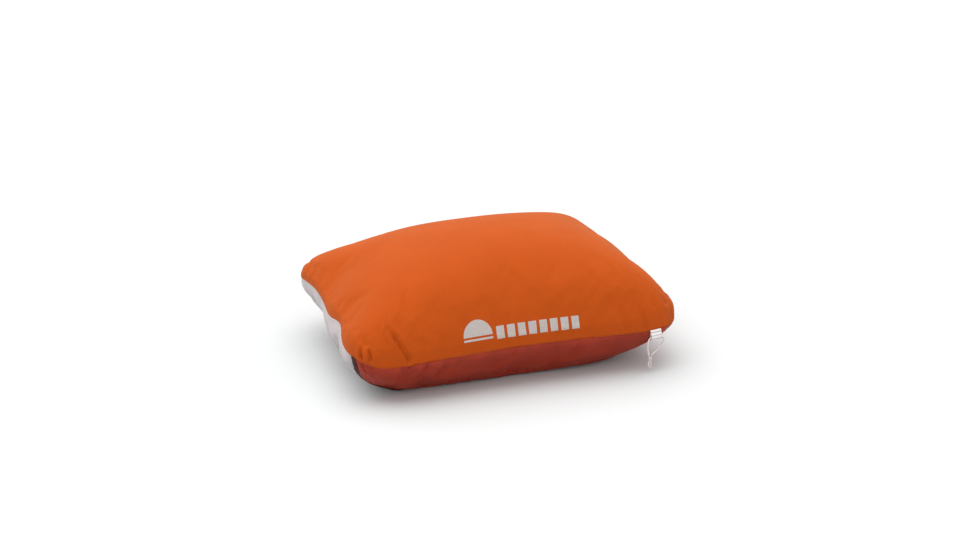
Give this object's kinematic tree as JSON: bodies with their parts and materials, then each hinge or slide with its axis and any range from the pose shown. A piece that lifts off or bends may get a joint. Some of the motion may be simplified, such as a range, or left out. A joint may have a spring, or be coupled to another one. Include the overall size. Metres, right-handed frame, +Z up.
{
  "type": "camp pillow",
  "caption": "Compressible foam-core camp pillow in a two-tone sewn cover, with a stow pocket open at the left end and a corded side label.",
  "frame": {"origin": "middle of the resting face, at the bottom of the pillow's box", "axes": "+X to the pillow's right along its length, -Y to the printed front, +Z up from the resting face"},
  "size_m": [0.34, 0.2386, 0.1273],
  "materials": {
    "knit": "matte brushed knit",
    "woven": "smooth woven",
    "pale_woven": "smooth woven",
    "binding": "matte tape",
    "foam": "matte open-cell foam",
    "wadding": "matte fibre",
    "thread": "thread",
    "label_tape": "woven tape",
    "cord": "braided cord",
    "print": "matte print"
  },
  "bodies": {
    "pillow": {"top_panel": "knit", "base_panel": "woven", "pocket_panel": "pale_woven", "mouth_binding": "binding", "foam_core": "foam", "loft_layer": "wadding", "seam_tape": "pale_woven", "seam_thread": "thread", "print_sun": "print", "print_bars": "print"},
    "label": {"side_label": "label_tape"},
    "cord_loop": {"tag_cord": "cord", "cord_knot": "cord", "cord_tails": "cord"}
  },
  "joints": [
    {"name": "label_flip", "type": "hinge", "parent": "pillow", "child": "label", "pos_m": [0.13791, -0.11664, 0.04287], "axis": [-0.9832, -0.1827, 0], "range_deg": [-10, 75]},
    {"name": "cord_swing", "type": "hinge", "parent": "label", "child": "cord_loop", "pos_m": [0.13802, -0.11724, 0.0359], "axis": [-0.9832, -0.1827, 0], "range_deg": [-20, 45]}
  ]
}
